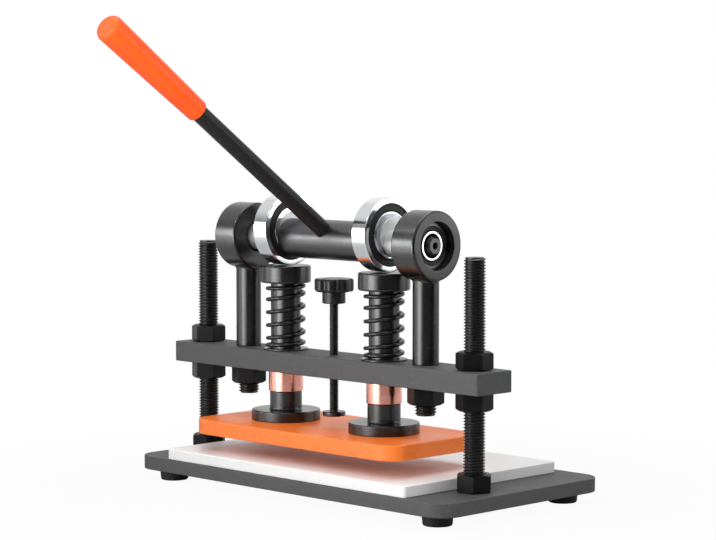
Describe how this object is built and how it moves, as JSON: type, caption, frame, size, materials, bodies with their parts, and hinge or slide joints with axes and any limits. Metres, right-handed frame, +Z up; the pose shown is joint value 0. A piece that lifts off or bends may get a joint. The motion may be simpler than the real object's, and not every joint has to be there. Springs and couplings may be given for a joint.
{
  "type": "manual die cutting machine",
  "caption": "Bench press with a hand lever: an eccentric shaft with bearing rollers pushes a sprung press plate towards a cutting board, under a beam on threaded columns.",
  "frame": {"origin": "on the table, under the middle of the base plate", "axes": "+X along the beam to the right, +Y away from the side that the lever rests on, +Z up"},
  "size_m": [0.376, 0.3858, 0.4029],
  "materials": {
    "coated_steel": "matt powder coat",
    "black_steel": "black oxide, satin",
    "rubber": "matt",
    "zinc_steel": "zinc plated",
    "shaft_steel": "dark, turned",
    "white_board": "milled polyethylene",
    "bronze": "turned bronze",
    "bearing_steel": "ground and polished",
    "orange_plate": "satin powder coat",
    "orange_grip": "satin moulded plastic",
    "black_plastic": "moulded, satin"
  },
  "bodies": {
    "frame": {"base_plate": "coated_steel", "front_left_foot": "rubber", "front_right_foot": "rubber", "rear_left_foot": "rubber", "rear_right_foot": "rubber", "foot_screws": "zinc_steel", "cutting_board": "white_board", "left_column": "black_steel", "right_column": "black_steel", "base_nuts": "black_steel"},
    "head": {"beam": "coated_steel", "upper_nuts": "black_steel", "lower_nuts": "black_steel", "left_post": "black_steel", "right_post": "black_steel", "post_nuts": "black_steel", "left_bush": "bronze", "right_bush": "bronze", "left_spring_seat": "black_steel", "right_spring_seat": "black_steel", "left_spring": "black_steel", "right_spring": "black_steel", "left_eye_outer_ring": "bearing_steel", "right_eye_outer_ring": "bearing_steel", "left_eye_balls": "bearing_steel", "right_eye_balls": "bearing_steel", "left_eye_seals": "rubber", "right_eye_seals": "rubber"},
    "shaft": {"eccentric_shaft": "shaft_steel", "left_eye_inner_ring": "bearing_steel", "right_eye_inner_ring": "bearing_steel", "left_roller_inner_ring": "bearing_steel", "right_roller_inner_ring": "bearing_steel", "roller_circlips": "zinc_steel", "lever_rod": "black_steel", "lever_grip": "orange_grip"},
    "left_roller": {"left_roller_outer_ring": "bearing_steel", "left_roller_balls": "bearing_steel", "left_roller_seals": "rubber"},
    "right_roller": {"right_roller_outer_ring": "bearing_steel", "right_roller_balls": "bearing_steel", "right_roller_seals": "rubber"},
    "press": {"left_plunger_rod": "black_steel", "right_plunger_rod": "black_steel", "left_cap": "black_steel", "right_cap": "black_steel", "left_flange": "black_steel", "right_flange": "black_steel", "plate_screws": "zinc_steel", "press_plate": "orange_plate"},
    "stop_foot": {"stop_foot": "black_steel"},
    "stop_screw": {"stop_screw": "black_steel", "stop_knob": "black_plastic"}
  },
  "joints": [
    {"name": "head_height", "type": "slide", "parent": "frame", "child": "head", "axis": [0, 0, 1], "range_m": [-0.004, 0.06]},
    {"name": "lever_swing", "type": "hinge", "parent": "head", "child": "shaft", "pos_m": [0, -0.035, 0.219], "axis": [-1, 0, 0], "range_deg": [0, 120]},
    {"name": "left_roller_spin", "type": "hinge", "parent": "shaft", "child": "left_roller", "pos_m": [-0.06, -0.035, 0.226], "axis": [1, 0, 0], "continuous": true},
    {"name": "right_roller_spin", "type": "hinge", "parent": "shaft", "child": "right_roller", "pos_m": [0.06, -0.035, 0.226], "axis": [1, 0, 0], "continuous": true},
    {"name": "press_travel", "type": "slide", "parent": "head", "child": "press", "axis": [0, 0, -1], "range_m": [0, 0.0105], "stiffness_N_per_m": 23700, "springref_m": -0.008, "deforming": ["left_spring", "right_spring"]},
    {"name": "stop_travel", "type": "slide", "parent": "head", "child": "stop_foot", "axis": [0, 0, -1], "range_m": [-0.01, 0.0075]},
    {"name": "stop_turn", "type": "hinge", "parent": "stop_foot", "child": "stop_screw", "pos_m": [0, -0.035, 0.1], "axis": [0, 0, -1], "range_deg": [-2880, 2160]}
  ],
  "couplings": [
    {"joint": "press_travel", "follows": "lever_swing", "m_per_rad": 0.00501},
    {"joint": "stop_turn", "follows": "stop_travel", "rad_per_m": 5026.5}
  ]
}
